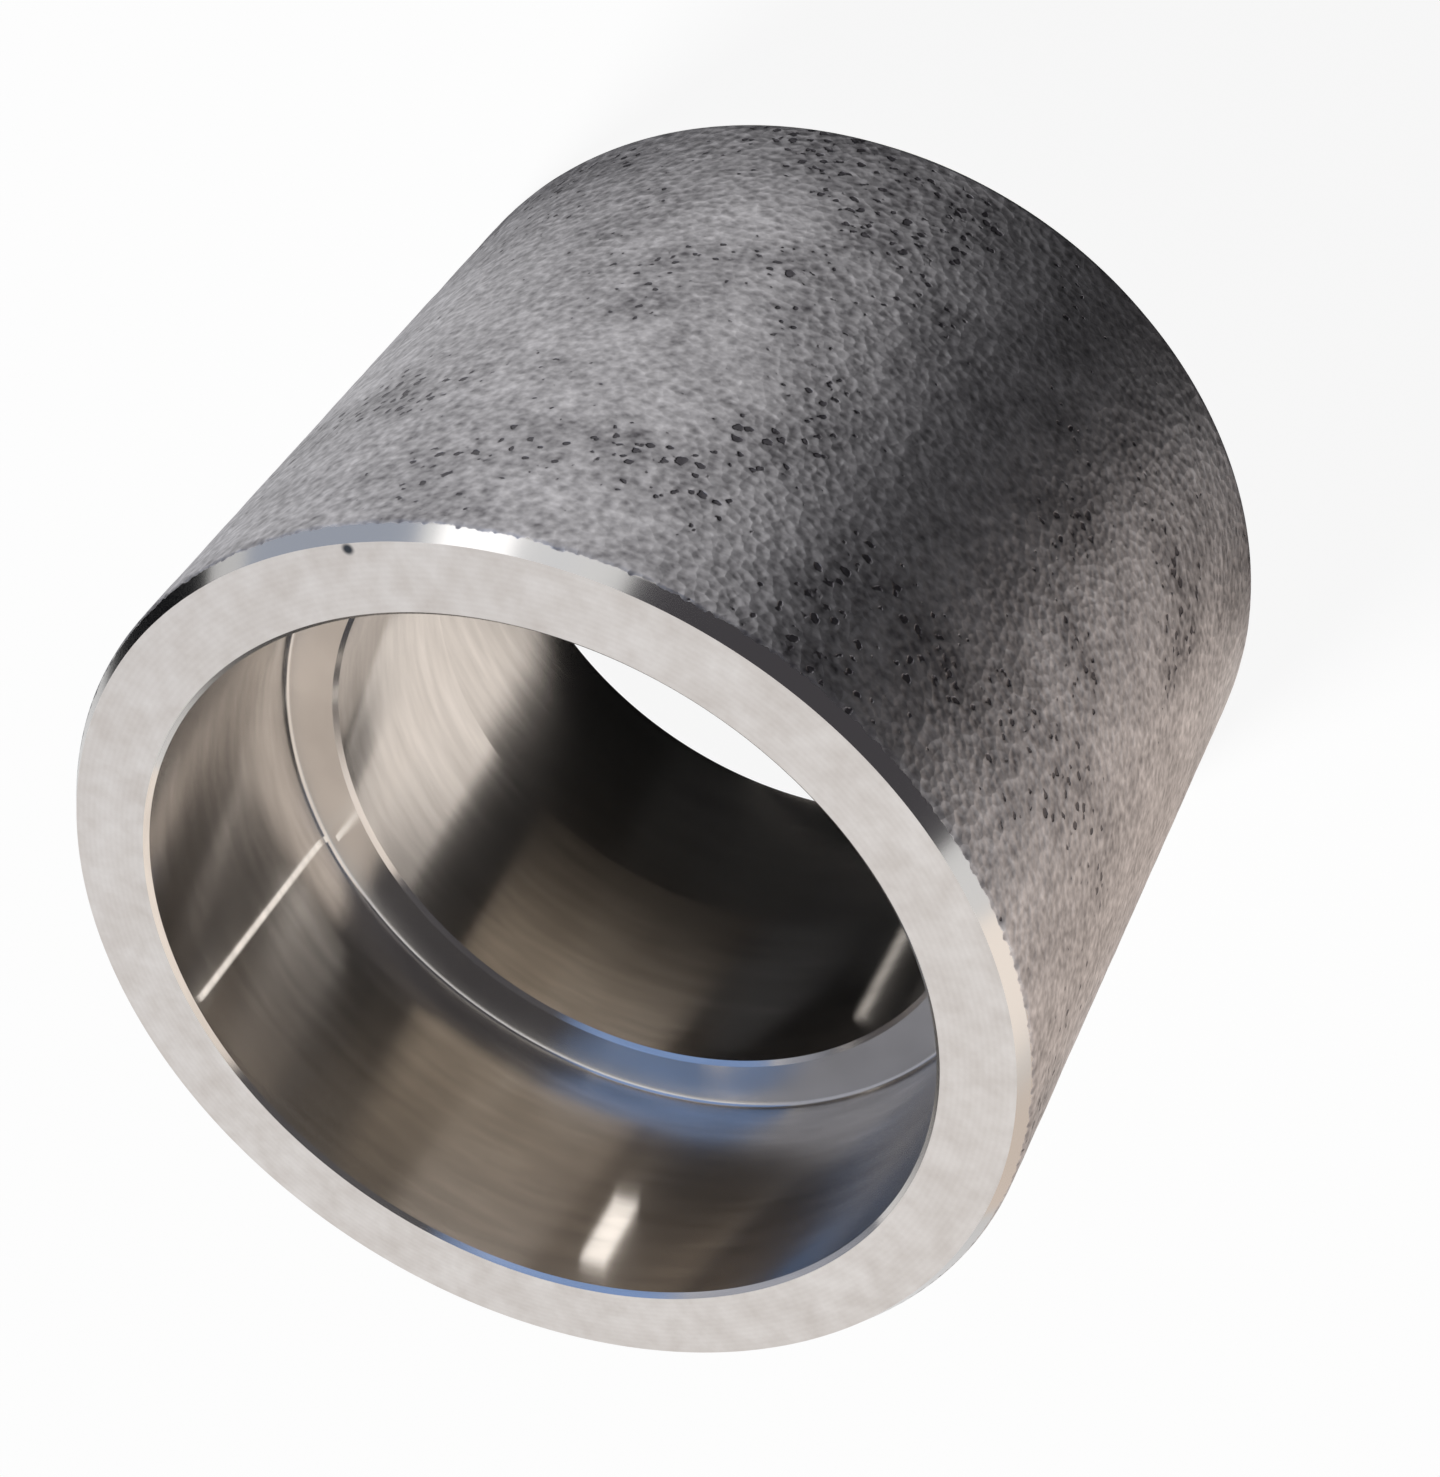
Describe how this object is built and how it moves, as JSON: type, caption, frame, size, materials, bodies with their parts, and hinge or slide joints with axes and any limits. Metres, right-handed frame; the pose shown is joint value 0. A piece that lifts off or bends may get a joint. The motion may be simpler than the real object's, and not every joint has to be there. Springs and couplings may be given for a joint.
{
  "type": "socket weld coupling",
  "caption": "Forged steel pipe coupling: a thick plain ring with a stepped pipe socket at each end and a flow bore through the stop between them.",
  "frame": {"origin": "centre of the lower end face, on the pipe axis, where the coupling stands", "axes": "+Z along the pipe axis towards the upper socket; X and Y are any two square directions, since the body is round"},
  "size_m": [0.075, 0.075, 0.0635],
  "materials": {
    "forged_steel": "grey shot-blasted forged skin outside, bright turned end faces, chamfers and sockets"
  },
  "bodies": {
    "root": {"coupling_body": "forged_steel"}
  },
  "joints": []
}
